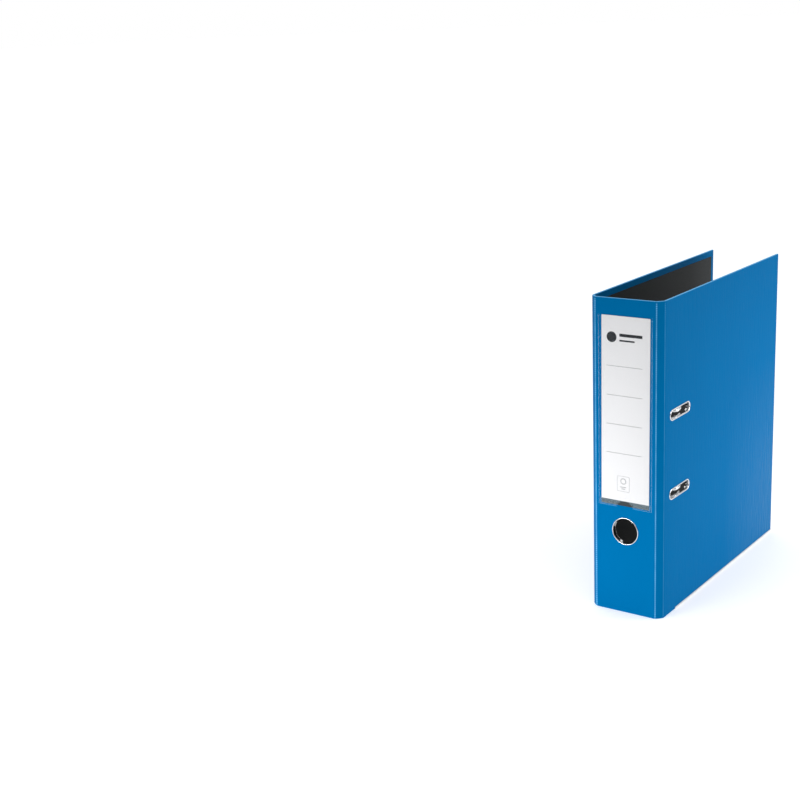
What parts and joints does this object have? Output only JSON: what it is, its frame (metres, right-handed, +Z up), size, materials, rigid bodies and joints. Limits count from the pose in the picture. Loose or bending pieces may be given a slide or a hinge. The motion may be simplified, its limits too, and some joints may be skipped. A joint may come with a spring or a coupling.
{
  "type": "lever arch file",
  "caption": "Blue board lever arch file with fold-open covers, spine label pocket, finger ring and a working lever arch mechanism.",
  "frame": {"origin": "middle of the base that the closed file stands on", "axes": "+Z up, spine and label face -Y, front cover with the slots on +X, mechanism on the rear cover at -X"},
  "size_m": [0.0782, 0.285, 0.318],
  "materials": {
    "film": "satin",
    "lining": "matte",
    "chrome": "polished",
    "steel": "satin",
    "shoe": "satin",
    "pocket": "gloss",
    "label": "matte"
  },
  "bodies": {
    "rear_cover": {"rear_cover_board": "film", "rear_lining": "lining", "rear_edge_shoe": "shoe", "base_plate": "steel", "cover_rivet_1": "steel", "cover_rivet_2": "steel", "cover_rivet_3": "steel", "cover_rivet_4": "steel", "post_lower": "chrome", "post_upper": "chrome", "leaf_spring": "steel", "spring_rivet": "steel", "lever_pin": "steel"},
    "rear_hinge": {"rear_hinge_strip": "film"},
    "spine": {"spine_board": "film", "spine_lining": "lining", "finger_ring": "chrome", "finger_ring_washer": "chrome", "label_pocket": "pocket"},
    "front_hinge": {"front_hinge_strip": "film"},
    "front_cover": {"front_cover_board": "film", "front_lining": "lining", "front_edge_shoe": "shoe", "slot_eyelet_lower": "chrome", "slot_eyelet_upper": "chrome", "slot_washer_lower": "steel", "slot_washer_upper": "steel"},
    "label": {"label_card": "label"},
    "arches": {"arch_wire": "chrome"},
    "lever": {"lever": "steel", "roller_pin": "steel"},
    "roller": {"lever_roller": "steel"},
    "compressor": {"compressor_bar": "steel", "compressor_clip_lower": "steel", "compressor_clip_upper": "steel"}
  },
  "joints": [
    {"name": "rear_strip_fold", "type": "hinge", "parent": "rear_cover", "child": "rear_hinge", "pos_m": [-0.0373, -0.13498, 0.159], "axis": [0, 0, -1], "range_deg": [0, 45]},
    {"name": "rear_spine_fold", "type": "hinge", "parent": "rear_hinge", "child": "spine", "pos_m": [-0.0318, -0.14047, 0.159], "axis": [0, 0, -1], "range_deg": [0, 45]},
    {"name": "front_strip_fold", "type": "hinge", "parent": "spine", "child": "front_hinge", "pos_m": [0.0318, -0.14047, 0.159], "axis": [0, 0, -1], "range_deg": [0, 90]},
    {"name": "front_cover_fold", "type": "hinge", "parent": "front_hinge", "child": "front_cover", "pos_m": [0.0373, -0.13498, 0.159], "axis": [0, 0, -1], "range_deg": [0, 90]},
    {"name": "lever_lift", "type": "hinge", "parent": "rear_cover", "child": "lever", "pos_m": [-0.01987, -0.12248, 0.23], "axis": [0, 1, 0], "range_deg": [0, 90]},
    {"name": "arch_swing", "type": "hinge", "parent": "rear_cover", "child": "arches", "pos_m": [-0.0311, -0.10718, 0.164], "axis": [0, 0, -1], "range_deg": [0, 18]},
    {"name": "roller_spin", "type": "hinge", "parent": "lever", "child": "roller", "pos_m": [-0.01829, -0.12248, 0.22568], "axis": [0, 1, 0], "continuous": true},
    {"name": "compressor_slide", "type": "slide", "parent": "rear_cover", "child": "compressor", "axis": [1, 0, 0], "range_m": [0, 0.032]},
    {"name": "label_slide", "type": "slide", "parent": "spine", "child": "label", "axis": [0, 0, 1], "range_m": [0, 0.195]}
  ],
  "couplings": [
    {"joint": "rear_spine_fold", "follows": "rear_strip_fold", "ratio": 1},
    {"joint": "front_cover_fold", "follows": "front_strip_fold", "ratio": 1},
    {"joint": "arch_swing", "follows": "lever_lift", "ratio": 0.2}
  ]
}
